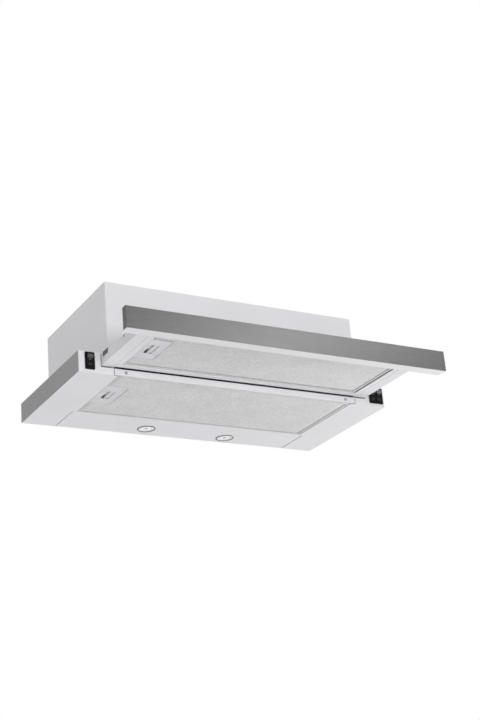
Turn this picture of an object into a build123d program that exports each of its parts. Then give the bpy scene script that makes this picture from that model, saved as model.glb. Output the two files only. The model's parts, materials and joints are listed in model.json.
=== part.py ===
from build123d import *
import os
from math import cos, radians, sin

os.makedirs("parts", exist_ok=True)

# A telescopic cooker hood, drawer pulled out. X is to the right, Y to the wall, Z up.
# The origin is the middle of the underside of the whole hood with its drawer out.

# Overall sizes, in millimetres
PANEL_WIDTH = 598.0
BASE_WIDTH = 597.0
BASE_DEPTH = 260.0
ARM_HEIGHT = 36.0
HOUSING_WIDTH = 490.0
HOUSING_TOP = 168.0
DRAWER_REACH = 186.0
SHEET = 1.0

BASE_FRONT = DRAWER_REACH - (BASE_DEPTH + DRAWER_REACH) / 2
BASE_REAR = BASE_FRONT + BASE_DEPTH
PANEL_FRONT = BASE_FRONT - DRAWER_REACH
REAR_INSIDE = BASE_REAR - SHEET

# The two arms, measured from the middle plane
TRIM = 0.5
ARM_SIDE = BASE_WIDTH / 2 - TRIM
WALL_X = 259.0
SHELF_X = 235.8
SHELF_TOP = 11.7
LEDGE_X = 227.5
LEDGE_REAR = 143.4
CAP_THICK = 1.5
ARM_FRONT = BASE_FRONT + CAP_THICK
ARM_TOP_INNER_X = 240.0
CABINET_SCREW_X = 278.0
CABINET_SCREW_Y = (0.0, 180.0)
CABINET_SCREW_R = 2.5

# Front crossbar and small fixings
CROSSBAR_X = SHELF_X - 1.2
CROSSBAR_BOTTOM = 1.5
CROSSBAR_LIP = 4.0
CROSSBAR_SHELF = 9.0
CROSSBAR_SCREW_X = 214.6
CROSSBAR_SCREW_Z = 6.0
CROSSBAR_SCREW_HEAD_R = 2.4
CROSSBAR_SCREW_LENGTH = 3.6
SCREW_R = 1.5
FOLD_R = 0.9

# Housing and outlet
HOUSING_X = HOUSING_WIDTH / 2
HOUSING_FRONT = BASE_FRONT + 2.0
FLANGE = 12.0
OUTLET_Y = 100.0
OUTLET_HOLE_R = 55.0
SPIGOT_R = 59.75
SPIGOT_WALL = 1.5
SPIGOT_TOP = HOUSING_TOP + 30.0
DAMPER_Z = HOUSING_TOP + 6.0
ROD_R = 1.5
HINGE_FIT = 0.07
FLAP_R = 56.5
GLAND_X = 180.0
GLAND_Y = 150.0
GLAND_R = 6.0
GLAND_BORE_R = 3.5
SPIGOT_FLANGE_R = 68.0
STOP_RING_R = 54.5
KNUCKLE_R = 2.8
KNUCKLE_HALF = 6.0
KNUCKLE_SPREAD = 25.0
KNUCKLE_STAGGER = 10.0
FLAP_HALF_THICK = 0.5
FLAP_GAP = 3.3
REAR_SCREW_HEAD_R = 3.0
REAR_SCREW_LENGTH = 8.0
REAR_SCREWS = [(x, z) for x in (-238.0, 238.0) for z in (48.0, 102.0, 156.0)]

# Filter cassettes
FILTER_X = 226.0
FILTER_THICK = 9.0
RIM = 3.0
LOWER_FILTER_Y = (-32.5, 143.0)
LOWER_FILTER_Z = 0.6
LOWER_LATCH_Y = 53.5
UPPER_FILTER_Y = (-220.5, -49.5)
UPPER_FILTER_Z = 16.0
UPPER_LATCH_Y = -119.0
LATCH_PLATE = 76.0
LATCH_PLATE_X = -188.0
LATCH_SLOT = 34.0
TAB_REACH = 238.5
TAB_OFFSETS = (-45.0, 45.0)
TONGUE_HALF = 8.0
TONGUE_RISE = (4.5, 6.5)
TONGUE_SLOT_HALF = 8.6
TONGUE_SLOT_RISE = (3.8, 7.2)

# Latch of a cassette, at its left end
SKIN = 1.0
SKIN_RISE = 0.2
FINGER_SLOT_X = (-215.0, -200.0)
FINGER_X = (-208.5, -198.0)
FINGER_LIP = 2.3
FINGER_RISE = (1.6, 3.6)
PUSH_BAR_X = (-216.0, -213.2)
PUSH_BAR_HALF = 29.0
PUSH_BAR_RISE = (2.0, 6.5)
SPRING_OFFSET = 25.0
SPRING_SEAT_X = -191.2
SPRING_SEAT_HALF = 3.0
SPRING_X = -212.6
SPRING_LENGTH = 20.6
SPRING_RISE = 4.2
SPRING_PITCH = 2.4
SPRING_R = 1.4
WIRE_R = 0.3

# Lamps
LAMP_PANEL_FRONT = 147.0
LAMP_PANEL_Z = 1.0
LAMPS = {"left": (-70.0, 193.0), "right": (96.0, 200.0)}
LAMP_R = 17.0
LAMP_PANEL_X = (2.6 - SHELF_X, SHELF_X - 1.2)
HEM_DEPTH = 3.4
HEM_TOP = 3.3
HEM_R = 1.6
BEZEL_WALL = 2.3
LENS_Z = (1.0, 2.6)
MODULE_Z = (2.7, 14.0)
REFLECTOR_DEPTH = 5.3
REFLECTOR_FLOOR_R = 5.0
CHIP_R = 2.6

# Drawer
BEAM_X = 297.8
BEAM_DEPTH = 20.0
RAIL_X = 257.8
RAIL_WEB_X = 235.0
RAIL_SHEET = 1.2
RAIL_Z = (14.0, 33.0)
RAIL_REAR = BASE_FRONT + 60.0
REAR_BAR_Y = (BASE_FRONT - 12.0, BASE_FRONT - 2.0)
CHANNEL_HEIGHT = 12.0
PANEL_RETURN = 11.2
PANEL_EDGE_R = 0.8
BEAM_TOP_LIP = 14.0
BEAM_END = 11.0
COVER_X = 243.0
COVER_RIB_X = 190.0
COVER_RIB_Y = (45.0, 130.0)
COVER_RIB = (3.0, 2.0)
RAIL_GROOVE_X = (236.6, 238.0)
RAIL_SCREW_Y = -127.0
RAIL_SCREW_Z = 30.0
RAIL_SCREW_R = 1.2
RAIL_SCREW_HEAD_R = 1.9
RAIL_SCREW_LENGTH = 5.0
STOP_Y = (BASE_FRONT - 27.0, BASE_FRONT - 8.0)
STOP_X = (249.7, RAIL_X + 0.7)
STOP_LOW = 27.0
SHOE_X = (240.5, 258.3)
SHOE_LENGTH = 12.0
GLIDE_LENGTH = 20.0

# Switches
PIVOT_Y = BASE_FRONT + 0.5
PIVOT_Z = 20.0
ROCKER_HALF = 11.8
ROCKER_TILT = 8.0
PIN_R = 1.0
PIN_OVERRUN = 0.7
LIGHT_X = (-287.0, -270.0)
FAN_X = (267.0, 296.0)
LIGHT_WELL = (-284.4, -272.6)
POWER_WELL = (269.6, 280.9)
SPEED_WELL = (282.1, 293.4)
BEZEL_LAP = 1.6
BEZEL_HALF = 15.0
BEZEL_CORNER = 1.5
WINDOW_HALF = 13.5
SWITCH_BOX_HALF = 13.3
SWITCH_BOX_DEPTH = 20.0
WELL_HALF = 12.4
WELL_DEPTH = 8.0
ROCKER_FACE = ((-2.6, 0.0), (-4.2, ROCKER_HALF), (3.5, ROCKER_HALF - 1.5), (5.0, 0.0),
               (3.5, 1.5 - ROCKER_HALF), (-4.2, -ROCKER_HALF))
ROCKER_GAP = 0.3

# Blower
BLOWER_Y = 108.0
BLOWER_Z = 97.0
SCROLL_R = 57.0
CASING_HALF = 50.0
CASING_WALL = 2.0
INLET_R = 38.0
IMPELLER_R = 44.0
BLADE_DEPTH = 8.0
BLADES = 32
BLADE_THICK = 1.2
BLADE_ANGLE = 25
HUB_R = 9.0
RING = 3.0
SHAFT_R = 4.0
MOTOR_R = 27.0
MOTOR_X = (-58.0, -12.0)
MOTOR_NOSE_R = 10.0
SCROLL_OUTLET_Y = 150.0
SCROLL_FLANGE_Y = (45.0, 156.0)
SCROLL_FLANGE_X = 60.0
SCROLL_TOP = HOUSING_TOP - 2 * SHEET
BRACKET_ARM = (20.0, 10.0)
BRACKET_REACH = 36.0

# Electrics
BOX_TOP = HOUSING_TOP - SHEET
BOX_HALF = (32.0, 30.0)
BOX_WALL = 2.0
BOX_DEPTH = 34.0
GLAND_NUT_R = 9.5
GLAND_NUT = 5.0
GLAND_TOP = HOUSING_TOP + 12.0
GLAND_FOOT = BOX_TOP - 8.0
CAPACITOR_R = 13.0
CAPACITOR_X = -205.0
CAPACITOR_Y = (120.0, 170.0)
DRIVER_X = (-190.0, -110.0)
DRIVER_DEPTH = 26.0
DRIVER_Z = (52.0, 78.0)


def block(x_ends, y_ends, z_ends, mode=Mode.ADD):
    """A box between two values on each axis."""
    ends = (x_ends, y_ends, z_ends)
    with Locations(tuple(sum(pair) / 2 for pair in ends)):
        Box(*(abs(pair[1] - pair[0]) for pair in ends), mode=mode)


def rod_x(radius, x_ends, y, z, mode=Mode.ADD):
    """A round bar along X."""
    with Locations(((x_ends[0] + x_ends[1]) / 2, y, z)):
        Cylinder(radius, abs(x_ends[1] - x_ends[0]), rotation=(0, 90, 0), mode=mode)


def rod_y(radius, x, y_ends, z, mode=Mode.ADD):
    """A round bar along Y."""
    with Locations((x, (y_ends[0] + y_ends[1]) / 2, z)):
        Cylinder(radius, abs(y_ends[1] - y_ends[0]), rotation=(90, 0, 0), mode=mode)


def rod_z(radius, x, y, z_ends, mode=Mode.ADD):
    """A round bar along Z."""
    with Locations((x, y, (z_ends[0] + z_ends[1]) / 2)):
        Cylinder(radius, abs(z_ends[1] - z_ends[0]), mode=mode)


def save(piece, name):
    """Label a finished piece and write it as its own file."""
    piece.part.label = name
    export_step(piece.part, f"parts/{name}.step")


# ---- Arms: folded sheet boxes along both sides, with a low shelf for the drawer ----

def filter_tab_ys(y_ends):
    """Where the filter's two fixed tabs stand along Y."""
    return [sum(y_ends) / 2 + offset for offset in TAB_OFFSETS]


def tongue_slots(x_ends, centres, filter_z):
    """Cut the slots that a filter's tabs or latch tongue reach into."""
    z_ends = [filter_z + rise for rise in TONGUE_SLOT_RISE]
    for y in centres:
        block(x_ends, (y - TONGUE_SLOT_HALF, y + TONGUE_SLOT_HALF), z_ends, Mode.SUBTRACT)


def arm(side, name):
    along = (ARM_FRONT, REAR_INSIDE)
    with BuildPart() as piece:
        block((side * ARM_SIDE, side * (ARM_SIDE - SHEET)), along, (0, ARM_HEIGHT))
        block((side * ARM_SIDE, side * SHELF_X), along, (0, SHEET))
        block((side * (SHELF_X + SHEET), side * SHELF_X), along, (0, SHELF_TOP))
        block((side * (WALL_X + SHEET), side * SHELF_X), along, (SHELF_TOP - SHEET, SHELF_TOP))
        block((side * (WALL_X + SHEET), side * WALL_X), along, (SHELF_TOP - SHEET, ARM_HEIGHT))
        block((side * ARM_SIDE, side * ARM_TOP_INNER_X), along, (ARM_HEIGHT - SHEET, ARM_HEIGHT))
        block((side * (SHELF_X + SHEET), side * LEDGE_X), (LOWER_FILTER_Y[0], LEDGE_REAR), (0, SHEET))
        for y in CABINET_SCREW_Y:
            screw_z = (ARM_HEIGHT - 2, ARM_HEIGHT + 1)
            rod_z(CABINET_SCREW_R, side * CABINET_SCREW_X, y, screw_z, Mode.SUBTRACT)
        slot_x = (side * (SHELF_X - 1), side * (SHELF_X + SHEET + 0.5))
        centres = filter_tab_ys(LOWER_FILTER_Y) if side > 0 else [LOWER_LATCH_Y]
        tongue_slots(slot_x, centres, LOWER_FILTER_Z)
    save(piece, name)


def side_trim(side, name):
    with BuildPart() as piece:
        block((side * ARM_SIDE, side * (ARM_SIDE + TRIM)), (BASE_FRONT, BASE_REAR), (0, ARM_HEIGHT))
    save(piece, name)


def end_cap(side, name, switch_x):
    """The front cap of an arm, with a window for its switch."""
    window_x = (switch_x[0] + BEZEL_LAP, switch_x[1] - BEZEL_LAP)
    window_z = (PIVOT_Z - WINDOW_HALF, PIVOT_Z + WINDOW_HALF)
    with BuildPart() as piece:
        block((side * ARM_SIDE, side * WALL_X), (BASE_FRONT, ARM_FRONT), (0, ARM_HEIGHT))
        block((side * WALL_X, side * SHELF_X), (BASE_FRONT, ARM_FRONT), (0, SHELF_TOP))
        block(window_x, (BASE_FRONT - 1, ARM_FRONT + 1), window_z, Mode.SUBTRACT)
    save(piece, name)


for side, word in ((-1, "left"), (1, "right")):
    arm(side, f"{word}_arm")
    side_trim(side, f"{word}_side_trim")

end_cap(-1, "left_end_cap", LIGHT_X)
end_cap(1, "right_end_cap", FAN_X)

# ---- Front crossbar between the arms, a small channel ----

with BuildPart() as front_crossbar:
    span = (-CROSSBAR_X, CROSSBAR_X)
    block(span, (BASE_FRONT, BASE_FRONT + SHEET), (CROSSBAR_BOTTOM, SHELF_TOP))
    block(span, (BASE_FRONT, BASE_FRONT + CROSSBAR_LIP), (CROSSBAR_BOTTOM, CROSSBAR_BOTTOM + SHEET))
    block(span, (BASE_FRONT, BASE_FRONT + CROSSBAR_SHELF), (SHELF_TOP - SHEET, SHELF_TOP))
    for x in (-CROSSBAR_SCREW_X, CROSSBAR_SCREW_X):
        rod_y(SCREW_R, x, (BASE_FRONT - 1, BASE_FRONT + 2), CROSSBAR_SCREW_Z, Mode.SUBTRACT)
    fillet(front_crossbar.edges().filter_by(Axis.X).group_by(Axis.Z)[0].sort_by(Axis.Y)[0], FOLD_R)
save(front_crossbar, "front_crossbar")

with BuildPart() as crossbar_screws:
    for x in (-CROSSBAR_SCREW_X, CROSSBAR_SCREW_X):
        rod_y(CROSSBAR_SCREW_HEAD_R, x, (BASE_FRONT - 1, BASE_FRONT), CROSSBAR_SCREW_Z)
        rod_y(SCREW_R, x, (BASE_FRONT, BASE_FRONT + CROSSBAR_SCREW_LENGTH), CROSSBAR_SCREW_Z)
save(crossbar_screws, "crossbar_screws")

# ---- Housing: front, top, two sides and a rear panel, all of sheet ----

with BuildPart() as housing_front:
    block((-HOUSING_X, HOUSING_X), (HOUSING_FRONT, HOUSING_FRONT + SHEET), (ARM_HEIGHT, HOUSING_TOP))
    fillet(housing_front.edges().filter_by(Axis.X).group_by(Axis.Z)[-1].sort_by(Axis.Y)[0], FOLD_R)
save(housing_front, "housing_front")

with BuildPart() as housing_top:
    cut_z = (HOUSING_TOP - 2 * SHEET, HOUSING_TOP + SHEET)
    block((-HOUSING_X, HOUSING_X), (HOUSING_FRONT + SHEET, REAR_INSIDE), (HOUSING_TOP - SHEET, HOUSING_TOP))
    rod_z(OUTLET_HOLE_R, 0, OUTLET_Y, cut_z, Mode.SUBTRACT)
    rod_z(GLAND_R, GLAND_X, GLAND_Y, cut_z, Mode.SUBTRACT)
save(housing_top, "housing_top")

for side, word in ((-1, "left"), (1, "right")):
    with BuildPart() as housing_side:
        inner = side * (HOUSING_X - SHEET)
        reach = side * (HOUSING_X - FLANGE)
        along = (HOUSING_FRONT + SHEET, REAR_INSIDE)
        block((side * HOUSING_X, inner), along, (ARM_HEIGHT, HOUSING_TOP - SHEET))
        block((inner, reach), along, (HOUSING_TOP - 2 * SHEET, HOUSING_TOP - SHEET))
        block((inner, reach), (REAR_INSIDE - SHEET, REAR_INSIDE), (ARM_HEIGHT, HOUSING_TOP - SHEET))
        block((inner, reach), along[:1] + (along[0] + SHEET,), (ARM_HEIGHT, HOUSING_TOP - SHEET))
        for x, z in REAR_SCREWS:
            rod_y(SCREW_R, x, (REAR_INSIDE - 2, REAR_INSIDE + 1), z, Mode.SUBTRACT)
    save(housing_side, f"housing_{word}_side")

with BuildPart() as rear_panel:
    block((-ARM_SIDE, ARM_SIDE), (REAR_INSIDE, BASE_REAR), (0, ARM_HEIGHT))
    block((-HOUSING_X, HOUSING_X), (REAR_INSIDE, BASE_REAR), (ARM_HEIGHT, HOUSING_TOP))
    for x, z in REAR_SCREWS:
        rod_y(REAR_SCREW_HEAD_R, x, (REAR_INSIDE - 1, BASE_REAR + 1), z, Mode.SUBTRACT)
save(rear_panel, "rear_panel")

with BuildPart() as rear_screws:
    for x, z in REAR_SCREWS:
        rod_y(REAR_SCREW_HEAD_R, x, (REAR_INSIDE, BASE_REAR), z)
        rod_y(SCREW_R, x, (REAR_INSIDE - REAR_SCREW_LENGTH, REAR_INSIDE), z)
save(rear_screws, "rear_screws")

# ---- Outlet spigot with its backdraft damper ----

with BuildPart() as outlet_spigot:
    rod_z(SPIGOT_FLANGE_R, 0, OUTLET_Y, (HOUSING_TOP, HOUSING_TOP + SPIGOT_WALL))
    rod_z(SPIGOT_R, 0, OUTLET_Y, (HOUSING_TOP, SPIGOT_TOP))
    rod_z(SPIGOT_R - SPIGOT_WALL, 0, OUTLET_Y, (HOUSING_TOP - 1, SPIGOT_TOP + 1), Mode.SUBTRACT)
    rod_z(SPIGOT_R - SPIGOT_WALL, 0, OUTLET_Y, (DAMPER_Z - 1.8, DAMPER_Z - 0.7))
    rod_z(STOP_RING_R, 0, OUTLET_Y, (DAMPER_Z - 3, DAMPER_Z), Mode.SUBTRACT)
    rod_x(ROD_R, (-SPIGOT_R - 1, SPIGOT_R + 1), OUTLET_Y, DAMPER_Z, Mode.SUBTRACT)
save(outlet_spigot, "outlet_spigot")

with BuildPart() as damper_rod:
    rod_x(ROD_R, (-SPIGOT_R + 0.2, SPIGOT_R - 0.2), OUTLET_Y, DAMPER_Z)
save(damper_rod, "damper_rod")

for side, word in ((-1, "front"), (1, "rear")):
    leaf_z = (DAMPER_Z - FLAP_HALF_THICK, DAMPER_Z + FLAP_HALF_THICK)
    with BuildPart() as flap:
        rod_z(FLAP_R, 0, OUTLET_Y, leaf_z)
        cut_y = (OUTLET_Y + side * FLAP_GAP, OUTLET_Y - side * SPIGOT_R)
        block((-SPIGOT_R, SPIGOT_R), cut_y, (DAMPER_Z - 2, DAMPER_Z + 2), Mode.SUBTRACT)
        for x in (side * KNUCKLE_STAGGER - KNUCKLE_SPREAD, side * KNUCKLE_STAGGER + KNUCKLE_SPREAD):
            knuckle_x = (x - KNUCKLE_HALF, x + KNUCKLE_HALF)
            rod_x(KNUCKLE_R, knuckle_x, OUTLET_Y, DAMPER_Z)
            block(knuckle_x, (OUTLET_Y, OUTLET_Y + side * (FLAP_GAP + 0.2)), leaf_z)
        rod_x(ROD_R + HINGE_FIT, (-SPIGOT_R, SPIGOT_R), OUTLET_Y, DAMPER_Z, Mode.SUBTRACT)
    save(flap, f"damper_{word}_flap")


# ---- Filter cassettes: frame, mesh core, and a spring latch at the left end ----

def filter_cassette(name, y_ends, z, latch_y):
    low, high = z, z + FILTER_THICK
    front, rear = y_ends
    plate_y = (latch_y - LATCH_PLATE / 2, latch_y + LATCH_PLATE / 2)
    inner_left = -FILTER_X + RIM
    outer_left = -FILTER_X - 1
    tongue_z = [low + rise for rise in TONGUE_RISE]
    tongue_y = (latch_y - TONGUE_HALF, latch_y + TONGUE_HALF)
    skin_z = (low + SKIN_RISE, low + SKIN_RISE + SKIN)

    with BuildPart() as frame:
        block((-FILTER_X, FILTER_X), y_ends, (low, high))
        inside_y = (front + RIM, rear - RIM)
        block((inner_left, -inner_left), inside_y, (low - 1, high + 1), Mode.SUBTRACT)
        passage_y = (tongue_y[0] - 0.4, tongue_y[1] + 0.4)
        passage_z = (tongue_z[0] - 0.4, tongue_z[1] + 0.4)
        block((outer_left, inner_left + 1), passage_y, passage_z, Mode.SUBTRACT)
        block((outer_left, inner_left + 1), plate_y, (low - 1, skin_z[1]), Mode.SUBTRACT)
        for y in filter_tab_ys(y_ends):
            block((FILTER_X - 1, TAB_REACH), (y - TONGUE_HALF, y + TONGUE_HALF), tongue_z)
    save(frame, f"{name}_frame")

    with BuildPart() as mesh:
        block((inner_left, -inner_left), inside_y, (low + 0.6, high - 1))
        notch_y = (plate_y[0] - 0.3, plate_y[1] + 0.3)
        block((inner_left - 1, LATCH_PLATE_X + 0.3), notch_y, (low - 1, high + 1), Mode.SUBTRACT)
    save(mesh, f"{name}_mesh")

    with BuildPart() as plate:
        block((inner_left, LATCH_PLATE_X), plate_y, (skin_z[0], high - 1))
        pocket_y = (plate_y[0] + SKIN, plate_y[1] - SKIN)
        block((inner_left - 1, LATCH_PLATE_X - SKIN), pocket_y, (skin_z[1], high), Mode.SUBTRACT)
        block((-FILTER_X, inner_left), plate_y, skin_z)
        slot_y = (latch_y - LATCH_SLOT / 2, latch_y + LATCH_SLOT / 2)
        block(FINGER_SLOT_X, slot_y, (low - 1, skin_z[1] + 1), Mode.SUBTRACT)
        for y in (latch_y - SPRING_OFFSET, latch_y + SPRING_OFFSET):
            seat_y = (y - SPRING_SEAT_HALF, y + SPRING_SEAT_HALF)
            block((SPRING_SEAT_X, LATCH_PLATE_X - SKIN / 2), seat_y, (skin_z[1], low + 7))
    save(plate, f"{name}_latch_plate")

    with BuildPart() as slider:
        finger_y = (slot_y[0] + 1, slot_y[1] - 1)
        finger_z = [low + rise for rise in FINGER_RISE]
        lip_x = (FINGER_X[0], FINGER_X[0] + FINGER_LIP)
        block(FINGER_X, finger_y, finger_z)
        block(lip_x, finger_y, (low + 0.4, finger_z[1]))
        block(lip_x, tongue_y, (finger_z[1], tongue_z[1]))
        block((-TAB_REACH + 0.5, lip_x[1]), tongue_y, tongue_z)
        bar_z = [low + rise for rise in PUSH_BAR_RISE]
        block(PUSH_BAR_X, (latch_y - PUSH_BAR_HALF, latch_y + PUSH_BAR_HALF), bar_z)
    save(slider, f"{name}_latch_slider")


def latch_springs(name, z, latch_y):
    """Two compression coils, each swept along its own helix."""
    with BuildPart() as springs:
        for y in (latch_y - SPRING_OFFSET, latch_y + SPRING_OFFSET):
            start = (SPRING_X, y, z + SPRING_RISE)
            with BuildLine() as coil:
                Helix(SPRING_PITCH, SPRING_LENGTH, SPRING_R, center=start, direction=(1, 0, 0))
            with BuildSketch(Plane(origin=coil.line @ 0, z_dir=coil.line % 0)):
                Circle(WIRE_R)
            sweep()
    save(springs, f"{name}_latch_springs")


filter_cassette("lower_filter", LOWER_FILTER_Y, LOWER_FILTER_Z, LOWER_LATCH_Y)
filter_cassette("upper_filter", UPPER_FILTER_Y, UPPER_FILTER_Z, UPPER_LATCH_Y)
latch_springs("lower_filter", LOWER_FILTER_Z, LOWER_LATCH_Y)
latch_springs("upper_filter", UPPER_FILTER_Z, UPPER_LATCH_Y)

# ---- Lamp panel behind the lower filter, with two lamps ----

with BuildPart() as lamp_panel:
    block(LAMP_PANEL_X, (LAMP_PANEL_FRONT, REAR_INSIDE), (LAMP_PANEL_Z, LAMP_PANEL_Z + SHEET))
    block(LAMP_PANEL_X, (LAMP_PANEL_FRONT - HEM_DEPTH, LAMP_PANEL_FRONT), (0, HEM_TOP))
    block(LAMP_PANEL_X, (LAMP_PANEL_FRONT - SHEET, LAMP_PANEL_FRONT), (0, SHELF_TOP))
    block(LAMP_PANEL_X, (REAR_INSIDE - SHEET, REAR_INSIDE), (LAMP_PANEL_Z, 30))
    for x, y in LAMPS.values():
        rod_z(LAMP_R - 1.2, x, y, (LAMP_PANEL_Z - 2, LAMP_PANEL_Z + 3), Mode.SUBTRACT)
    hem = lamp_panel.edges().filter_by(Axis.X).group_by(Axis.Z)[0].sort_by(Axis.Y)
    fillet(hem[0], HEM_R)
    fillet(hem[-1], FOLD_R)
save(lamp_panel, "lamp_panel")

for word, (x, y) in LAMPS.items():
    with BuildPart() as bezel:
        rod_z(LAMP_R, x, y, (0, LAMP_PANEL_Z))
        rod_z(LAMP_R - 1.3, x, y, (LAMP_PANEL_Z, 12))
        rod_z(LAMP_R - BEZEL_WALL, x, y, (-1, 13), Mode.SUBTRACT)
        rim = bezel.edges().filter_by(GeomType.CIRCLE).group_by(Axis.Z)[0].sort_by(SortBy.RADIUS)[-1:]
        fillet(rim, 0.7)
    save(bezel, f"{word}_lamp_bezel")

LENS_R = LAMP_R - BEZEL_WALL - 0.05
with BuildPart() as lamp_lenses:
    for x, y in LAMPS.values():
        rod_z(LENS_R, x, y, LENS_Z)
save(lamp_lenses, "lamp_lenses")

with BuildPart() as lamp_modules:
    reflector_top = MODULE_Z[0] + REFLECTOR_DEPTH
    for x, y in LAMPS.values():
        rod_z(LENS_R, x, y, MODULE_Z)
        with Locations((x, y, MODULE_Z[0] + REFLECTOR_DEPTH / 2)):
            Cone(LENS_R - 0.85, REFLECTOR_FLOOR_R, REFLECTOR_DEPTH, mode=Mode.SUBTRACT)
        rod_z(CHIP_R, x, y, (reflector_top - 0.8, reflector_top))
save(lamp_modules, "lamp_modules")

# ---- Drawer: steel front panel, white beam, two side rails and a rear bar ----

with BuildPart() as front_panel:
    half = PANEL_WIDTH / 2
    block((-half, half), (PANEL_FRONT, PANEL_FRONT + PANEL_RETURN), (0, ARM_HEIGHT))
    inside_y = (PANEL_FRONT + SHEET, PANEL_FRONT + PANEL_RETURN + 1)
    block((SHEET - half, half - SHEET), inside_y, (-1, ARM_HEIGHT - SHEET), Mode.SUBTRACT)
    fillet(front_panel.edges().filter_by(Axis.Z).group_by(Axis.Y)[0], PANEL_EDGE_R)
save(front_panel, "front_panel")

with BuildPart() as front_beam:
    span = (-BEAM_X, BEAM_X)
    beam_front = PANEL_FRONT + SHEET
    block(span, (beam_front, beam_front + SHEET), (0, ARM_HEIGHT - 1))
    block(span, (beam_front, beam_front + BEAM_DEPTH), (0, SHEET))
    block(span, (beam_front, beam_front + BEAM_TOP_LIP), (ARM_HEIGHT - 2 * SHEET, ARM_HEIGHT - SHEET))
    for side in (-1, 1):
        end_x = (side * BEAM_X, side * (BEAM_X - SHEET))
        block(end_x, (beam_front, beam_front + BEAM_END), (0, ARM_HEIGHT - SHEET))
save(front_beam, "front_beam")

RAIL_FRONT = PANEL_FRONT + 2 * SHEET
for side, word in ((-1, "left"), (1, "right")):
    with BuildPart() as rail:
        along = (RAIL_FRONT, RAIL_REAR)
        low, high = RAIL_Z
        web_x = (side * RAIL_WEB_X, side * (RAIL_WEB_X - RAIL_SHEET))
        block((side * RAIL_X, side * (RAIL_X - RAIL_SHEET)), along, RAIL_Z)
        block((side * RAIL_X, side * RAIL_WEB_X), along, (low, low + RAIL_SHEET))
        block((side * RAIL_WEB_X, side * LEDGE_X), (RAIL_FRONT, REAR_BAR_Y[0]), (low, low + RAIL_SHEET))
        block(web_x, (RAIL_FRONT, REAR_BAR_Y[1]), (low, low + CHANNEL_HEIGHT))
        block((side * RAIL_X, side * COVER_X), along, (high - RAIL_SHEET, high))
        block([side * x for x in RAIL_GROOVE_X], along, (low - 1, low + RAIL_SHEET / 2), Mode.SUBTRACT)
        slot_x = (side * (RAIL_WEB_X + 1), side * (RAIL_WEB_X - 2))
        centres = filter_tab_ys(UPPER_FILTER_Y) if side > 0 else [UPPER_LATCH_Y]
        tongue_slots(slot_x, centres, UPPER_FILTER_Z)
        hole_x = (side * (RAIL_X + 2), side * (RAIL_X - 3))
        rod_x(RAIL_SCREW_R, hole_x, RAIL_SCREW_Y, RAIL_SCREW_Z, Mode.SUBTRACT)
    save(rail, f"drawer_{word}_rail")

with BuildPart() as drawer_rear_bar:
    web = RAIL_WEB_X - RAIL_SHEET
    low = RAIL_Z[0]
    block((-web, web), REAR_BAR_Y, (low, low + RAIL_SHEET))
    block((-web, web), (REAR_BAR_Y[0], REAR_BAR_Y[0] + RAIL_SHEET), (low, low + CHANNEL_HEIGHT))
    block((-web, web), (REAR_BAR_Y[1] - RAIL_SHEET, REAR_BAR_Y[1]), (low, low + CHANNEL_HEIGHT))
save(drawer_rear_bar, "drawer_rear_bar")

with BuildPart() as drawer_cover:
    cover_low = RAIL_Z[1] - RAIL_SHEET
    block((-COVER_X, COVER_X), (RAIL_FRONT, REAR_BAR_Y[1]), (cover_low, RAIL_Z[1]))
    for offset in COVER_RIB_Y:
        y = RAIL_FRONT + offset
        block((-COVER_RIB_X, COVER_RIB_X), (y, y + COVER_RIB[0]), (cover_low - COVER_RIB[1], cover_low))
save(drawer_cover, "drawer_cover")

with BuildPart() as rail_screws:
    for side in (-1, 1):
        rod_x(RAIL_SCREW_HEAD_R, (side * RAIL_X, side * (RAIL_X + 0.7)), RAIL_SCREW_Y, RAIL_SCREW_Z)
        shank_x = (side * RAIL_X, side * (RAIL_X - RAIL_SCREW_LENGTH))
        rod_x(RAIL_SCREW_R, shank_x, RAIL_SCREW_Y, RAIL_SCREW_Z)
save(rail_screws, "rail_screws")

with BuildPart() as rail_stops:
    for side in (-1, 1):
        block([side * x for x in STOP_X], STOP_Y, (RAIL_Z[1], ARM_HEIGHT - 1.2))
        block((side * STOP_X[1], side * RAIL_X), STOP_Y, (STOP_LOW, RAIL_Z[1]))
save(rail_stops, "rail_stops")

with BuildPart() as rail_rear_shoes:
    shoe_y = (RAIL_REAR, RAIL_REAR + SHOE_LENGTH)
    for side in (-1, 1):
        block([side * x for x in SHOE_X], shoe_y, (SHELF_TOP + 0.3, ARM_HEIGHT - 1.3))
save(rail_rear_shoes, "rail_rear_shoes")

with BuildPart() as front_glides:
    glide_y = (ARM_FRONT + 1, ARM_FRONT + 1 + GLIDE_LENGTH)
    for side in (-1, 1):
        block((side * 256, side * 240), glide_y, (SHELF_TOP, RAIL_Z[0] - 0.1))
        block((side * 249, side * 243.5), glide_y, (RAIL_Z[1] + 0.1, ARM_HEIGHT - SHEET))
        block((side * WALL_X, side * (RAIL_X + 0.2)), glide_y, (18, 26))
save(front_glides, "front_glides")


# ---- Rocker switches in the arm caps ----

def pin_ends(wells):
    """The ends of the pin that carries a switch's keys."""
    return min(min(x) for x in wells) - PIN_OVERRUN, max(max(x) for x in wells) + PIN_OVERRUN


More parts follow.
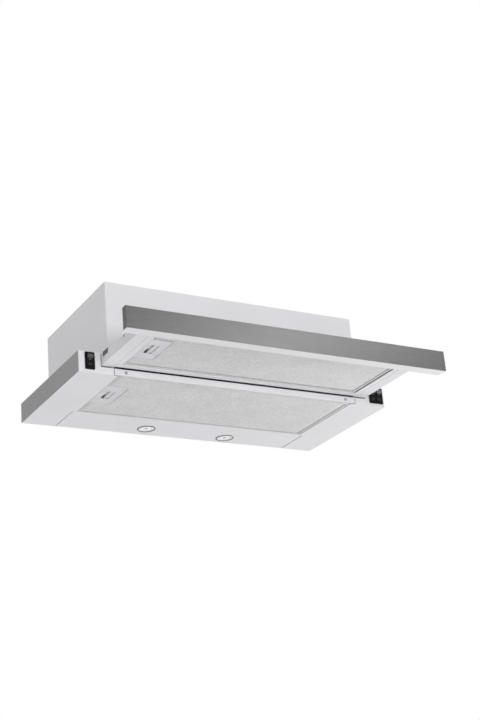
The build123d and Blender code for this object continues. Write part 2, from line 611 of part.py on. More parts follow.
def switch_body(name, x_ends, wells):
    """Bezel and box of a switch, with a well for each rocker."""
    with BuildPart() as piece:
        block(x_ends, (BASE_FRONT - BEZEL_LAP, BASE_FRONT), (PIVOT_Z - BEZEL_HALF, PIVOT_Z + BEZEL_HALF))
        fillet(piece.edges().filter_by(Axis.Y), BEZEL_CORNER)
        inset = (x_ends[0] + BEZEL_LAP + 0.2, x_ends[1] - BEZEL_LAP - 0.2)
        box_z = (PIVOT_Z - SWITCH_BOX_HALF, PIVOT_Z + SWITCH_BOX_HALF)
        block(inset, (BASE_FRONT, BASE_FRONT + SWITCH_BOX_DEPTH), box_z)
        well_z = (PIVOT_Z - WELL_HALF, PIVOT_Z + WELL_HALF)
        for x in wells:
            block(x, (BASE_FRONT - 3, BASE_FRONT + WELL_DEPTH), well_z, Mode.SUBTRACT)
        rod_x(PIN_R, pin_ends(wells), PIVOT_Y, PIVOT_Z, Mode.SUBTRACT)
    save(piece, f"{name}_body")


def rocker(name, well):
    """A see-saw key with a hollow face, turned by its tilt about the pin."""
    turn = radians(ROCKER_TILT)
    outline = []
    for y, z in ROCKER_FACE:
        turned_y = PIVOT_Y + y * cos(turn) - z * sin(turn)
        outline.append((turned_y, PIVOT_Z + y * sin(turn) + z * cos(turn)))
    with BuildPart() as piece:
        with BuildSketch(Plane.YZ.offset(well[0] + ROCKER_GAP)):
            with BuildLine():
                Polyline(*outline, close=True)
            make_face()
        extrude(amount=well[1] - well[0] - 2 * ROCKER_GAP)
        rod_x(PIN_R + HINGE_FIT, (well[0] - 1, well[1] + 1), PIVOT_Y, PIVOT_Z, Mode.SUBTRACT)
    save(piece, name)


switch_body("light_switch", LIGHT_X, [LIGHT_WELL])
switch_body("fan_switch", FAN_X, [POWER_WELL, SPEED_WELL])
rocker("light_rocker", LIGHT_WELL)
rocker("fan_power_rocker", POWER_WELL)
rocker("fan_speed_rocker", SPEED_WELL)

with BuildPart() as switch_pins:
    for wells in ([LIGHT_WELL], [POWER_WELL, SPEED_WELL]):
        rod_x(PIN_R, pin_ends(wells), PIVOT_Y, PIVOT_Z)
save(switch_pins, "switch_pins")


# ---- Blower: double-inlet scroll casing in two halves, impeller and motor ----

def scroll_outline(inset):
    """The scroll's round belly and its upright outlet, drawn in the YZ plane."""
    radius = SCROLL_R - inset
    top = SCROLL_TOP + inset
    with Locations((BLOWER_Y, BLOWER_Z)):
        Circle(radius)
    left, right = BLOWER_Y - radius, SCROLL_OUTLET_Y - inset
    with Locations(((left + right) / 2, (BLOWER_Z + top) / 2)):
        Rectangle(right - left, top - BLOWER_Z)


for side, word in ((-1, "left"), (1, "right")):
    with BuildPart() as casing:
        with BuildSketch(Plane.YZ):
            scroll_outline(0)
        extrude(amount=side * CASING_HALF)
        with BuildSketch(Plane.YZ):
            scroll_outline(CASING_WALL)
        extrude(amount=side * (CASING_HALF - CASING_WALL), mode=Mode.SUBTRACT)
        rod_x(INLET_R, (0, side * (CASING_HALF + 1)), BLOWER_Y, BLOWER_Z, Mode.SUBTRACT)
        block((0, side * SCROLL_FLANGE_X), SCROLL_FLANGE_Y, (SCROLL_TOP, SCROLL_TOP + SHEET))
        mouth_x = (0, side * (CASING_HALF - CASING_WALL))
        mouth_y = (BLOWER_Y - SCROLL_R + CASING_WALL, SCROLL_OUTLET_Y - CASING_WALL)
        block(mouth_x, mouth_y, (SCROLL_TOP - 2, SCROLL_TOP + 2), Mode.SUBTRACT)
    save(casing, f"blower_{word}_casing")

with BuildPart() as impeller:
    rod_x(IMPELLER_R, (-1, 1), BLOWER_Y, BLOWER_Z)
    rod_x(HUB_R, (-6, 6), BLOWER_Y, BLOWER_Z)
    for x in (-IMPELLER_R, IMPELLER_R - RING):
        rod_x(IMPELLER_R, (x, x + RING), BLOWER_Y, BLOWER_Z)
        rod_x(IMPELLER_R - BLADE_DEPTH, (x, x + RING), BLOWER_Y, BLOWER_Z, Mode.SUBTRACT)
    with BuildSketch(Plane.YZ.offset(-IMPELLER_R)):
        with Locations((BLOWER_Y, BLOWER_Z)):
            with PolarLocations(IMPELLER_R - BLADE_DEPTH / 2 - 0.3, BLADES):
                Rectangle(BLADE_DEPTH - 0.6, BLADE_THICK, rotation=BLADE_ANGLE)
    extrude(amount=2 * IMPELLER_R)
    rod_x(SHAFT_R, (-7, 7), BLOWER_Y, BLOWER_Z, Mode.SUBTRACT)
save(impeller, "impeller")

with BuildPart() as motor_shaft:
    rod_x(SHAFT_R, (MOTOR_X[1] - 12, 6), BLOWER_Y, BLOWER_Z)
save(motor_shaft, "motor_shaft")

with BuildPart() as motor:
    rod_x(MOTOR_R, MOTOR_X, BLOWER_Y, BLOWER_Z)
    rod_x(MOTOR_NOSE_R, (MOTOR_X[1], MOTOR_X[1] + 3), BLOWER_Y, BLOWER_Z)
    socket_x = (MOTOR_X[1] - 12.5, MOTOR_X[1] + 4)
    rod_x(SHAFT_R + HINGE_FIT, socket_x, BLOWER_Y, BLOWER_Z, Mode.SUBTRACT)
save(motor, "motor")

with BuildPart() as motor_bracket:
    rod_x(MOTOR_R + 2, (MOTOR_X[0], -CASING_HALF), BLOWER_Y, BLOWER_Z)
    with BuildSketch(Plane.YZ.offset(-CASING_HALF - 2)):
        with Locations((BLOWER_Y, BLOWER_Z)):
            with PolarLocations(BRACKET_REACH, 3, start_angle=30):
                Rectangle(*BRACKET_ARM)
    extrude(amount=2)
    rod_x(MOTOR_R, (MOTOR_X[0] - 2, 1 - CASING_HALF), BLOWER_Y, BLOWER_Z, Mode.SUBTRACT)
save(motor_bracket, "motor_bracket")

# ---- Electrics inside the housing, and the cable's gland on top ----

BOX_X = (GLAND_X - BOX_HALF[0], GLAND_X + BOX_HALF[0])
BOX_Y = (GLAND_Y - BOX_HALF[1], GLAND_Y + BOX_HALF[1])
BOX_BOTTOM = BOX_TOP - BOX_DEPTH

with BuildPart() as terminal_box:
    block(BOX_X, BOX_Y, (BOX_BOTTOM, BOX_TOP))
    room_x = (BOX_X[0] + BOX_WALL, BOX_X[1] - BOX_WALL)
    room_y = (BOX_Y[0] + BOX_WALL, BOX_Y[1] - BOX_WALL)
    block(room_x, room_y, (BOX_BOTTOM - 2, BOX_TOP - BOX_WALL), Mode.SUBTRACT)
    rod_z(GLAND_R, GLAND_X, GLAND_Y, (BOX_TOP - 4, BOX_TOP + 1), Mode.SUBTRACT)
save(terminal_box, "terminal_box")

with BuildPart() as terminal_box_lid:
    block(BOX_X, BOX_Y, (BOX_BOTTOM - BOX_WALL, BOX_BOTTOM))
save(terminal_box_lid, "terminal_box_lid")

with BuildPart() as cable_gland:
    rod_z(GLAND_R, GLAND_X, GLAND_Y, (GLAND_FOOT, GLAND_TOP))
    with BuildSketch(Plane.XY.offset(HOUSING_TOP)):
        with Locations((GLAND_X, GLAND_Y)):
            RegularPolygon(GLAND_NUT_R, 6)
    extrude(amount=GLAND_NUT)
    rod_z(GLAND_BORE_R, GLAND_X, GLAND_Y, (GLAND_FOOT - 2, GLAND_TOP + 2), Mode.SUBTRACT)
save(cable_gland, "cable_gland")

with BuildPart() as capacitor:
    rod_y(CAPACITOR_R, CAPACITOR_X, CAPACITOR_Y, SCROLL_TOP - CAPACITOR_R)
save(capacitor, "capacitor")

with BuildPart() as lamp_driver:
    block(DRIVER_X, (REAR_INSIDE - DRIVER_DEPTH, REAR_INSIDE), DRIVER_Z)
    fillet(lamp_driver.edges().filter_by(Axis.Z), 2)
save(lamp_driver, "lamp_driver")
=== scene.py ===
import json
from math import cos, pi, radians, sin

import bmesh
import bpy
from mathutils import Matrix, Vector


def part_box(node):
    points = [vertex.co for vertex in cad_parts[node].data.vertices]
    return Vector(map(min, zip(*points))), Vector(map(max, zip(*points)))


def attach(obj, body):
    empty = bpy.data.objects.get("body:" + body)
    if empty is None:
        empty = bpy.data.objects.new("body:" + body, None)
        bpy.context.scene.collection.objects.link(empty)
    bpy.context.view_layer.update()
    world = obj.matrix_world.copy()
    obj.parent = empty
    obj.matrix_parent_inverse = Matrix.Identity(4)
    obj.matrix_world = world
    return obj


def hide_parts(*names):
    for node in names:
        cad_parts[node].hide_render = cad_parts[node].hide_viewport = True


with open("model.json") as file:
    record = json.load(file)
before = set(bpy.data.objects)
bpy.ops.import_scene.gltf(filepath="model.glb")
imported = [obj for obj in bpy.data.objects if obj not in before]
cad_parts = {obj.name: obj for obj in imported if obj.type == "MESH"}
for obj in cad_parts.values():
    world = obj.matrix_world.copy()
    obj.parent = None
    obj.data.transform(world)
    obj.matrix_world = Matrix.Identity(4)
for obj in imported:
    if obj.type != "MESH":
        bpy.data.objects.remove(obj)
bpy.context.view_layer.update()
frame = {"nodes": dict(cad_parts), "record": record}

MM = 0.001


# ---------------------------------------------------------------- node helpers

class Graph:
    """A material's node tree, with short calls for the nodes used here."""

    def __init__(self, name):
        self.material = bpy.data.materials.new(name)
        self.material.use_nodes = True
        self.tree = self.material.node_tree
        self.shader = self.tree.nodes["Principled BSDF"]

    def add(self, kind, **settings):
        node = self.tree.nodes.new(kind)
        for key, value in settings.items():
            setattr(node, key, value)
        return node

    def link(self, out, into):
        self.tree.links.new(out, into)

    def coordinates(self, scale=(1, 1, 1)):
        """Object coordinates in metres, stretched along each axis."""
        place = self.add("ShaderNodeTexCoord")
        mapping = self.add("ShaderNodeMapping")
        mapping.inputs["Scale"].default_value = scale
        self.link(place.outputs["Object"], mapping.inputs["Vector"])
        return mapping.outputs["Vector"]

    def noise(self, scale, detail=3.0, roughness=0.5, stretch=(1, 1, 1)):
        node = self.add("ShaderNodeTexNoise")
        node.inputs["Scale"].default_value = scale
        node.inputs["Detail"].default_value = detail
        node.inputs["Roughness"].default_value = roughness
        self.link(self.coordinates(stretch), node.inputs["Vector"])
        return node.outputs["Fac"]

    def remap(self, value, low, high, from_low=0.3, from_high=0.7):
        node = self.add("ShaderNodeMapRange")
        node.inputs["From Min"].default_value = from_low
        node.inputs["From Max"].default_value = from_high
        node.inputs["To Min"].default_value = low
        node.inputs["To Max"].default_value = high
        self.link(value, node.inputs["Value"])
        return node.outputs["Result"]

    def ramp(self, value, first, second, low=0.3, high=0.7):
        node = self.add("ShaderNodeValToRGB")
        node.color_ramp.elements[0].position = low
        node.color_ramp.elements[1].position = high
        node.color_ramp.elements[0].color = (*first, 1)
        node.color_ramp.elements[1].color = (*second, 1)
        self.link(value, node.inputs["Fac"])
        return node.outputs["Color"]

    def bump(self, height, strength, distance):
        node = self.add("ShaderNodeBump")
        node.inputs["Strength"].default_value = strength
        node.inputs["Distance"].default_value = distance
        self.link(height, node.inputs["Height"])
        self.link(node.outputs["Normal"], self.shader.inputs["Normal"])

    def color(self, out):
        self.link(out, self.shader.inputs["Base Color"])

    def roughness(self, out):
        self.link(out, self.shader.inputs["Roughness"])


def shade(colour, factor):
    return tuple(min(1.0, channel * factor) for channel in colour)


# ---------------------------------------------------------------- materials

def powder_coat(name, colour, gloss=0.55):
    """Baked paint on sheet steel: faint orange peel and a slow drift in tone."""
    g = Graph(name)
    g.shader.inputs["IOR"].default_value = 1.38
    g.color(g.ramp(g.noise(9, 4), shade(colour, 0.975), shade(colour, 1.015)))
    g.roughness(g.remap(g.noise(30, 5), gloss - 0.05, gloss + 0.07))
    g.bump(g.noise(650, 2, 0.55), 0.12, 0.0002)
    return g.material


def brushed_steel(name, colour, gloss=0.3, along=(0.8, 90, 90), fine=40.0):
    """Steel brushed along one axis: long fine streaks in tone, gloss and height."""
    g = Graph(name)
    g.shader.inputs["Metallic"].default_value = 1.0
    g.shader.inputs["Anisotropic"].default_value = 0.55
    streaks = g.noise(fine, 8, 0.72, along)
    broad = g.noise(6, 3, 0.5, (0.6, 4, 4))
    tone = g.add("ShaderNodeMix", data_type="RGBA", blend_type="MULTIPLY")
    tone.inputs["Factor"].default_value = 1.0
    g.link(g.ramp(streaks, shade(colour, 0.93), shade(colour, 1.05)), tone.inputs[6])
    g.link(g.ramp(broad, (0.96, 0.96, 0.96), (1, 1, 1)), tone.inputs[7])
    g.color(tone.outputs[2])
    g.roughness(g.remap(streaks, gloss - 0.07, gloss + 0.1))
    g.bump(streaks, 0.1, 0.00005)
    return g.material


def rolled_metal(name, colour, gloss=0.38, metallic=0.9):
    """Rolled or plated metal with light scuffs."""
    g = Graph(name)
    g.shader.inputs["Metallic"].default_value = metallic
    scuffs = g.noise(90, 8, 0.7, (1, 3, 3))
    g.color(g.ramp(scuffs, shade(colour, 0.85), shade(colour, 1.08)))
    g.roughness(g.remap(scuffs, gloss - 0.1, gloss + 0.14))
    g.bump(g.noise(420, 4, 0.6), 0.16, 0.0001)
    return g.material


def moulded_plastic(name, colour, gloss=0.5, grain=900.0, depth=0.2, ior=1.48):
    """Moulded plastic with a spark-eroded grain."""
    g = Graph(name)
    g.shader.inputs["IOR"].default_value = ior
    g.color(g.ramp(g.noise(40, 4), shade(colour, 0.92), shade(colour, 1.08)))
    g.roughness(g.remap(g.noise(70, 5), gloss - 0.08, gloss + 0.1))
    g.bump(g.noise(grain, 2, 0.6), depth, 0.0001)
    return g.material


def chrome(name):
    """Plated metal with a soft polish that varies a little."""
    g = Graph(name)
    g.shader.inputs["Metallic"].default_value = 1.0
    polish = g.noise(180, 6, 0.6)
    g.color(g.ramp(polish, (0.2, 0.2, 0.205), (0.3, 0.3, 0.305)))
    g.roughness(g.remap(polish, 0.26, 0.38))
    g.bump(g.noise(60, 3), 0.05, 0.0001)
    return g.material


def frosted_glass(name):
    """A lamp's milky lens: rippled, a little see-through, and given a faint white emission, a
    painted glow, though the lamp is off.
    """
    g = Graph(name)
    g.shader.inputs["Transmission Weight"].default_value = 0.2
    # Painted glow: a faint white emission on the unlit lens to brighten it
    g.shader.inputs["Emission Color"].default_value = (1, 1, 1, 1)
    g.shader.inputs["Emission Strength"].default_value = 0.14
    g.shader.inputs["IOR"].default_value = 1.3
    g.color(g.ramp(g.noise(120, 3), (0.93, 0.93, 0.94), (0.99, 0.99, 0.99)))
    g.roughness(g.remap(g.noise(200, 3), 0.28, 0.4))
    g.bump(g.noise(300, 2), 0.5, 0.0006)
    return g.material


def mesh_metal(name, colour):
    """Thin aluminium strands, with a tone that changes from strand to strand."""
    g = Graph(name)
    g.shader.inputs["Metallic"].default_value = 0.15
    strands = g.noise(260, 5, 0.65, (1, 2.2, 1))
    cloud = g.noise(14, 3, 0.5, (1, 1.6, 1))
    tone = g.add("ShaderNodeMix", data_type="RGBA", blend_type="MULTIPLY")
    tone.inputs["Factor"].default_value = 1.0
    g.link(g.ramp(strands, shade(colour, 0.78), shade(colour, 1.12)), tone.inputs[6])
    g.link(g.ramp(cloud, (0.93, 0.93, 0.935), (1, 1, 1)), tone.inputs[7])
    g.color(tone.outputs[2])
    g.roughness(g.remap(strands, 0.36, 0.6))
    g.bump(strands, 0.35, 0.0002)
    return g.material


MATERIALS = {
    "white_paint": powder_coat("white_paint", (0.83, 0.83, 0.84)),
    "trim_grey": powder_coat("trim_grey", (0.37, 0.37, 0.375), 0.5),
    "brushed_panel": brushed_steel("brushed_panel", (0.26, 0.26, 0.26)),
    "screw_steel": rolled_metal("screw_steel", (0.52, 0.52, 0.51)),
    "spring_steel": rolled_metal("spring_steel", (0.4, 0.4, 0.41), 0.3),
    "chrome_ring": chrome("chrome_ring"),
    "lens_glass": frosted_glass("lens_glass"),
    "led_housing": moulded_plastic("led_housing", (0.9, 0.9, 0.89), 0.25, 500, 0.05),
    "filter_aluminium": rolled_metal("filter_aluminium", (0.8, 0.8, 0.8), 0.42, 0.6),
    "mesh_aluminium": mesh_metal("mesh_aluminium", (0.9, 0.9, 0.905)),
    "latch_grey": moulded_plastic("latch_grey", (0.74, 0.74, 0.75), 0.48),
    "nylon": moulded_plastic("nylon", (0.74, 0.74, 0.71), 0.45),
    "black_plastic": moulded_plastic("black_plastic", (0.006, 0.006, 0.0065), 0.4, ior=1.25),
    "key_plastic": moulded_plastic("key_plastic", (0.006, 0.006, 0.0065), 0.25, 500, 0.08, ior=1.3),
    "duct_plastic": moulded_plastic("duct_plastic", (0.10, 0.10, 0.105), 0.5),
    "impeller_plastic": moulded_plastic("impeller_plastic", (0.05, 0.05, 0.055), 0.45),
    "motor_metal": rolled_metal("motor_metal", (0.45, 0.45, 0.46), 0.45),
    "capacitor_shell": moulded_plastic("capacitor_shell", (0.7, 0.7, 0.68), 0.35),
    "lens_pip": moulded_plastic("lens_pip", (0.5, 0.5, 0.49), 0.3, 300, 0.1),
    "switch_mark": moulded_plastic("switch_mark", (0.16, 0.16, 0.165), 0.4, 300, 0.05),
    "stop_grey": moulded_plastic("stop_grey", (0.13, 0.13, 0.135), 0.5),
    # Painted highlights: lighter greys for the pads on the keys' upper halves, where light falls on
    # them
    "painted_key_highlight_pale": moulded_plastic("painted_key_highlight_pale", (0.24, 0.24, 0.245), 0.25, 500, 0.08),
    "painted_key_highlight_dim": moulded_plastic("painted_key_highlight_dim", (0.09, 0.09, 0.092), 0.3, 500, 0.08),
}

OWN_LOOKS = {"rail_stops": "stop_grey"}


def dress_frame():
    """Give every CAD node the full material of its slot, or its own look."""
    for part in frame["record"]["subparts"]:
        node = frame["nodes"].get(part["node"])
        if node is None:
            continue
        node.data.materials.clear()
        look = OWN_LOOKS.get(part["node"], part["material_slot"])
        node.data.materials.append(MATERIALS[look])


# ---------------------------------------------------------------- pieces

def make_piece(name, vertices, faces, slot, body, stands_for=()):
    """A mesh piece in metres that rides on a body, and may stand for CAD nodes."""
    mesh = bpy.data.meshes.new(name)
    mesh.from_pydata(vertices, [], faces)
    mesh.validate()
    mesh.update()
    piece = bpy.data.objects.new(name, mesh)
    bpy.context.collection.objects.link(piece)
    mesh.materials.append(MATERIALS[slot])
    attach(piece, body)
    if stands_for:
        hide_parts(*stands_for)
    return piece


STRAND_PITCH_X = 6.6 * MM
STRAND_PITCH_Y = 3.5 * MM
HOLE_SHARE = 0.62
STRAND_THICK = 0.6 * MM
STRAND_LIFT = 0.5 * MM
CORE_STEP = 4.2 * MM
CORE_WAVE = 0.25 * MM
WAVE_TURN_X = 2.1
WAVE_TURN_Y = 1.7
FACE_RISE = 0.1 * MM
CORE_RISE = 1.5 * MM
FILTER_EDGE = 0.4 * MM
NOTCH_GAP = 0.3 * MM
CORE_GAP = 0.5 * MM


def expanded_metal(x_ends, y_ends, z, keep, lift):
    """Diamonds of expanded metal: each cell is a strand ring round a real hole.

    Strands are twisted, so the left and right tips of each diamond stand lift apart in height.
    """
    index, vertices, faces = {}, [], []
    half_x, half_y = STRAND_PITCH_X / 2, STRAND_PITCH_Y / 2
    columns = int((x_ends[1] - x_ends[0]) / half_x)
    rows = int((y_ends[1] - y_ends[0]) / half_y)

    def corner(i, j, layer):
        key = (i, j, layer)
        if key not in index:
            index[key] = len(vertices)
            high = lift if i % 2 else 0.0
            vertices.append((x_ends[0] + i * half_x, y_ends[0] + j * half_y,
                             z + high + layer * STRAND_THICK))
        return index[key]

    for i in range(1, columns):
        for j in range(1, rows):
            if (i + j) % 2:
                continue
            centre = (x_ends[0] + i * half_x, y_ends[0] + j * half_y)
            if not keep(*centre):
                continue
            ring = [(i + 1, j), (i, j + 1), (i - 1, j), (i, j - 1)]
            outer = [[corner(a, b, layer) for a, b in ring] for layer in (0, 1)]
            inner = []
            for layer in (0, 1):
                start = len(vertices)
                for a, b in ring:
                    high = lift / 2 + ((lift if a % 2 else 0.0) - lift / 2) * HOLE_SHARE
                    vertices.append((centre[0] + (a - i) * half_x * HOLE_SHARE,
                                     centre[1] + (b - j) * half_y * HOLE_SHARE,
                                     z + high + layer * STRAND_THICK))
                inner.append([start + k for k in range(4)])
            for k in range(4):
                n = (k + 1) % 4
                faces.append((outer[0][n], outer[0][k], inner[0][k], inner[0][n]))
                faces.append((outer[1][k], outer[1][n], inner[1][n], inner[1][k]))
                faces.append((inner[0][n], inner[0][k], inner[1][k], inner[1][n]))
    return vertices, faces


def filter_core(x_ends, y_ends, z_ends, keep_left, notch_y):
    """The pressed inner layers: a pad with a soft wavy face, leaving the latch's corner free."""
    columns = int((x_ends[1] - x_ends[0]) / CORE_STEP)
    rows = int((y_ends[1] - y_ends[0]) / CORE_STEP)
    mesh = bmesh.new()
    grid = {}
    for i in range(columns + 1):
        for j in range(rows + 1):
            x = x_ends[0] + (x_ends[1] - x_ends[0]) * i / columns
            y = y_ends[0] + (y_ends[1] - y_ends[0]) * j / rows
            wave = CORE_WAVE * (sin(i * WAVE_TURN_X) * cos(j * WAVE_TURN_Y) + 1)
            grid[i, j] = mesh.verts.new((x, y, z_ends[0] + wave))
    for i in range(columns):
        for j in range(rows):
            x = (grid[i, j].co.x + grid[i + 1, j].co.x) / 2
            y = (grid[i, j].co.y + grid[i, j + 1].co.y) / 2
            if x < keep_left and notch_y[0] < y < notch_y[1]:
                continue
            mesh.faces.new((grid[i, j], grid[i, j + 1], grid[i + 1, j + 1], grid[i + 1, j]))
    bmesh.ops.delete(mesh, geom=[v for v in mesh.verts if not v.link_faces], context="VERTS")
    made = bmesh.ops.extrude_face_region(mesh, geom=mesh.faces[:])
    for v in made["geom"]:
        if isinstance(v, bmesh.types.BMVert):
            v.co.z = z_ends[1]
    bmesh.ops.recalc_face_normals(mesh, faces=mesh.faces)
    mesh.verts.index_update()
    vertices = [tuple(v.co) for v in mesh.verts]
    faces = [tuple(v.index for v in f.verts) for f in mesh.faces]
    mesh.free()
    return vertices, faces


def dress_filter(word, body):
    """Replace the plain slab of one cassette with its expanded-metal face and inner layers."""
    low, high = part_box(f"{word}_filter_mesh")
    plate_low, plate_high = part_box(f"{word}_filter_latch_plate")
    limit_x = plate_high[0] + STRAND_PITCH_X / 2
    limit_y = (plate_low[1] - STRAND_PITCH_Y / 2, plate_high[1] + STRAND_PITCH_Y / 2)

    def keep(x, y):
        return x > limit_x or y < limit_y[0] or y > limit_y[1]

    x_ends = (low[0] + FILTER_EDGE, high[0] - FILTER_EDGE)
    y_ends = (low[1] + FILTER_EDGE, high[1] - FILTER_EDGE)
    face = expanded_metal(x_ends, y_ends, low[2] + FACE_RISE, keep, STRAND_LIFT)
    node = f"{word}_filter_mesh"
    make_piece(f"{word}_filter_face_layer", *face, "mesh_aluminium", body, [node])
    notch = (plate_low[1] - NOTCH_GAP, plate_high[1] + NOTCH_GAP)
    core_z = (low[2] + CORE_RISE, high[2])
    core = filter_core(x_ends, y_ends, core_z, plate_high[0] + CORE_GAP, notch)
    make_piece(f"{word}_filter_inner_layers", *core, "mesh_aluminium", body, [node])


def turned_ring(name, centre, radius, thick, slot, body, axis="y", steps=40, sides=10):
    """A small round bead: a key's raised mark or the ring on a lens, facing Y or Z."""
    vertices, faces = [], []
    for i in range(steps):
        around = 2 * pi * i / steps
        for j in range(sides):
            across = 2 * pi * j / sides
            reach = radius + thick * cos(across)
            flat = (reach * cos(around), reach * sin(around))
            rise = thick * sin(across)
            offset = (flat[0], rise, flat[1]) if axis == "y" else (flat[0], flat[1], rise)
            vertices.append(tuple(c + o for c, o in zip(centre, offset)))
            next_i, next_j = (i + 1) % steps, (j + 1) % sides
            faces.append((i * sides + j, next_i * sides + j,
                          next_i * sides + next_j, i * sides + next_j))
    return make_piece(name, vertices, faces, slot, body)


def dome(name, centre, radius, height, slot, body, rings=6, steps=32):
    """A shallow dome hanging below its centre, with a flat closed top."""
    vertices, faces = [(centre[0], centre[1], centre[2] - height)], []
    for r in range(1, rings + 1):
        angle = pi / 2 * r / rings
        for k in range(steps):
            around = 2 * pi * k / steps
            vertices.append((centre[0] + radius * sin(angle) * cos(around),
                             centre[1] + radius * sin(angle) * sin(around),
                             centre[2] - height * cos(angle)))
    for k in range(steps):
        faces.append((0, 1 + (k + 1) % steps, 1 + k))
    for r in range(rings - 1):
        for k in range(steps):
            a, b = 1 + r * steps + k, 1 + r * steps + (k + 1) % steps
            faces.append((a, b, b + steps, a + steps))
    last = 1 + (rings - 1) * steps
    faces.append(tuple(last + k for k in range(steps)))
    return make_piece(name, vertices, faces, slot, body)


LENS_FACE_Z = 1.05 * MM
PIP_RADIUS = 3.6 * MM
PIP_HEIGHT = 0.7 * MM
BEAD_RADIUS = 10.6 * MM
BEAD_THICK = 0.5 * MM
BEAD_STEPS = 64


def dress_lamps():
    """The moulded pip in the middle of each lens and the ring round it."""
    for word in ("left", "right"):
        low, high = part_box(f"{word}_lamp_bezel")
        middle = ((low[0] + high[0]) / 2, (low[1] + high[1]) / 2, LENS_FACE_Z)
        pip = dome(f"{word}_lamp_pip", middle, PIP_RADIUS, PIP_HEIGHT, "lens_pip", "base")
        bead = turned_ring(f"{word}_lamp_bead", middle, BEAD_RADIUS, BEAD_THICK, "lens_pip",
                           "base", "z", BEAD_STEPS)


# The keys' outline, pivot and tilt, in millimetres along Y and Z
KEY_PIVOT = (-36.5, 20.0)
KEY_TILT = radians(8)
KEY_TOP = (-4.2, 11.8)
KEY_MIDDLE = (-2.6, 0.0)
# Where the painted highlight pad sits on each key's upper face
HIGHLIGHT_INSET = 0.7
HIGHLIGHT_SHARES = (0.4, 0.94)
PAD_LAYERS = ((-0.1, 0.0), (0.12, 0.0), (0.2, 0.12))
BAR_HALF = 2.4
BAR_SHARES = (0.16, 0.26)
MARK_Y = -39.1 * MM
MARK_Z = 13.6 * MM
MARK_RADIUS = 2.0 * MM
MARK_THICK = 0.24 * MM

# Each key's body, middle along X, half width and pad material, whose lighter grey is a painted
# highlight
KEYS = {"light_rocker": ("light_key", -278.5, 5.6, "painted_key_highlight_dim"),
        "fan_power_rocker": ("fan_power_key", 275.25, 5.35, "painted_key_highlight_pale"),
        "fan_speed_rocker": ("fan_speed_key", 287.75, 5.35, "painted_key_highlight_pale")}


def key_point(x, share, proud):
    """A point on a key's upper face, from its middle (0) to its top (1), standing proud of it."""
    y = KEY_MIDDLE[0] + (KEY_TOP[0] - KEY_MIDDLE[0]) * share - proud
    z = KEY_MIDDLE[1] + (KEY_TOP[1] - KEY_MIDDLE[1]) * share
    turned_y = KEY_PIVOT[0] + y * cos(KEY_TILT) - z * sin(KEY_TILT)
    turned_z = KEY_PIVOT[1] + y * sin(KEY_TILT) + z * cos(KEY_TILT)
    return x * MM, turned_y * MM, turned_z * MM


def face_pad(name, x_ends, shares, slot, body):
    """A thin pad on a key's upper face, with chamfered edges; in the lighter grey it is a painted
    highlight, as the bar it is a mark.
    """
    vertices = []
    for proud, inset in PAD_LAYERS:
        shift = inset / KEY_TOP[1]
        corners = ((x_ends[0] + inset, shares[0] + shift), (x_ends[1] - inset, shares[0] + shift),
                   (x_ends[1] - inset, shares[1] - shift), (x_ends[0] + inset, shares[1] - shift))
        vertices += [key_point(x, share, proud) for x, share in corners]
    faces = [(3, 2, 1, 0), (8, 9, 10, 11)]
    for layer in (0, 4):
        for k in range(4):
            n = (k + 1) % 4
            faces.append((layer + k, layer + n, layer + 4 + n, layer + 4 + k))
    return make_piece(name, vertices, faces, slot, body)


def dress_switches():
    """A lighter grey pad and a bar on each key's upper half, the pad a painted highlight of the lit
    upper face, and a generic ring mark on its lower half.
    """
    for node, (body, middle, half, highlight_grey) in KEYS.items():
        highlight_ends = (middle - half + HIGHLIGHT_INSET, middle + half - HIGHLIGHT_INSET)
        bar_ends = (middle - BAR_HALF, middle + BAR_HALF)
        # The pad's lighter grey is a painted highlight on the key's lit upper half
        pad = face_pad(f"{node}_pad", highlight_ends, HIGHLIGHT_SHARES, highlight_grey, body)
        bar = face_pad(f"{node}_bar", bar_ends, BAR_SHARES, "switch_mark", body)
        ring = turned_ring(f"{node}_mark", (middle * MM, MARK_Y, MARK_Z), MARK_RADIUS, MARK_THICK,
                           "switch_mark", body)


# ---------------------------------------------------------------- stage, lights and camera

FLOOR_Z = -1.55
FLOOR_HALF = 30


def build_floor():
    """A pale floor far below the hood, as in a kitchen; seen from below it lets the view through."""
    g = Graph("floor")
    g.color(g.ramp(g.noise(2, 2), (0.84, 0.84, 0.84), (0.88, 0.88, 0.88)))
    g.shader.inputs["Roughness"].default_value = 0.8
    facing = g.add("ShaderNodeNewGeometry")
    clear = g.add("ShaderNodeBsdfTransparent")
    mix = g.add("ShaderNodeMixShader")
    g.link(facing.outputs["Backfacing"], mix.inputs["Fac"])
    g.link(g.shader.outputs["BSDF"], mix.inputs[1])
    g.link(clear.outputs["BSDF"], mix.inputs[2])
    g.link(mix.outputs["Shader"], g.tree.nodes["Material Output"].inputs["Surface"])
    mesh = bpy.data.meshes.new("floor")
    corners = [(x * FLOOR_HALF, y * FLOOR_HALF, FLOOR_Z)
               for x, y in ((-1, -1), (1, -1), (1, 1), (-1, 1))]
    mesh.from_pydata(corners, [], [(0, 1, 2, 3)])
    floor = bpy.data.objects.new("floor", mesh)
    mesh.materials.append(g.material)
    bpy.context.collection.objects.link(floor)


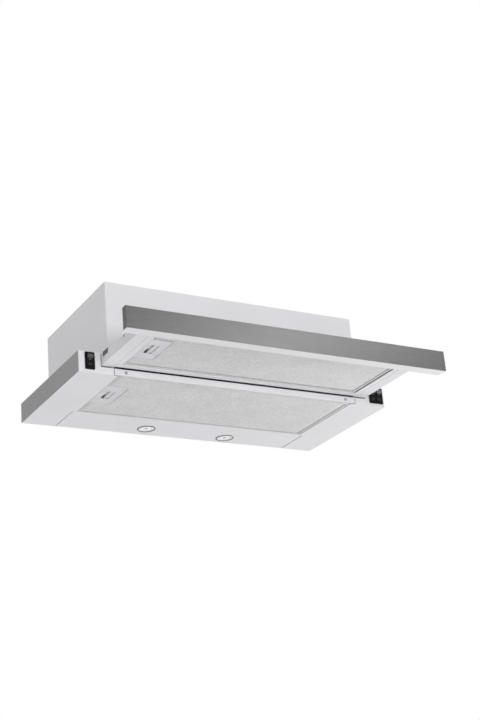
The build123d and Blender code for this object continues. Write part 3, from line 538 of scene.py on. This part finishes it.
# Each light's place, the point it faces, its size in metres and its power in watts
LIGHTS = {
    "key_front": ((-0.6, -3.0, -0.3), (0, 0, 0.05), (1.4, 1.0), 38),
    "side_left": ((-3.2, 0.6, 0.1), (0, 0, 0.05), (1.6, 1.6), 16),
    "under_back": ((2.4, 1.5, -1.1), (0, 0, 0), (1.0, 1.0), 27),
    "under_front": ((0.1, -2.2, -1.4), (0, 0, 0), (1.2, 1.2), 6.5),
    "panel_glow": ((1.48, -2.54, 1.16), (0, -0.22, 0), (0.35, 0.35), 2.6),
    "top_back": ((0.5, 1.5, 2.4), (0, 0, 0.1), (2, 2), 40),
}


def area_light(name, place, target, size, power):
    data = bpy.data.lights.new(name, "AREA")
    data.shape = "RECTANGLE"
    data.size, data.size_y = size
    data.energy = power
    light = bpy.data.objects.new(name, data)
    light.location = place
    light.rotation_euler = (Vector(target) - Vector(place)).to_track_quat("-Z", "Y").to_euler()
    bpy.context.collection.objects.link(light)


def build_world():
    """White behind the object, a softer grey for what it reflects and is lit by."""
    world = bpy.data.worlds.new("studio")
    bpy.context.scene.world = world
    world.use_nodes = True
    tree = world.node_tree
    tree.nodes.clear()
    path = tree.nodes.new("ShaderNodeLightPath")
    seen = tree.nodes.new("ShaderNodeBackground")
    seen.inputs["Color"].default_value = (1, 1, 1, 1)
    lit = tree.nodes.new("ShaderNodeBackground")
    lit.inputs["Color"].default_value = (0.985, 0.985, 1.0, 1)
    lit.inputs["Strength"].default_value = 0.42
    mix = tree.nodes.new("ShaderNodeMixShader")
    out = tree.nodes.new("ShaderNodeOutputWorld")
    tree.links.new(path.outputs["Is Camera Ray"], mix.inputs["Fac"])
    tree.links.new(lit.outputs["Background"], mix.inputs[1])
    tree.links.new(seen.outputs["Background"], mix.inputs[2])
    tree.links.new(mix.outputs["Shader"], out.inputs["Surface"])


CAMERA_PLACE = (-1.10026, -1.89295, -0.80011)
CAMERA_AZIMUTH = -30.74
CAMERA_ELEVATION = -21.63
CAMERA_ROLL = -4.89
CAMERA_LENS = 67.27


def build_camera():
    """The camera stands below and to the left of the hood and leans a little."""
    a, e, r = radians(CAMERA_AZIMUTH), radians(CAMERA_ELEVATION), radians(CAMERA_ROLL)
    back = Vector((sin(a) * cos(e), -cos(a) * cos(e), sin(e)))
    level = (-back).cross(Vector((0, 0, 1))).normalized()
    up = level.cross(-back)
    right = cos(r) * level + sin(r) * up
    top = cos(r) * up - sin(r) * level
    data = bpy.data.cameras.new("camera")
    data.lens = CAMERA_LENS
    data.clip_start = 0.05
    data.clip_end = 60
    camera = bpy.data.objects.new("camera", data)
    camera.matrix_world = Matrix((right, top, back)).transposed().to_4x4()
    camera.location = CAMERA_PLACE
    bpy.context.collection.objects.link(camera)
    bpy.context.scene.camera = camera


bpy.context.scene.view_settings.view_transform = "Standard"
dress_frame()
dress_filter("lower", "base")
dress_filter("upper", "drawer")
dress_lamps()
dress_switches()
build_floor()
build_world()
build_camera()
for light_name, settings in LIGHTS.items():
    area_light(light_name, *settings)
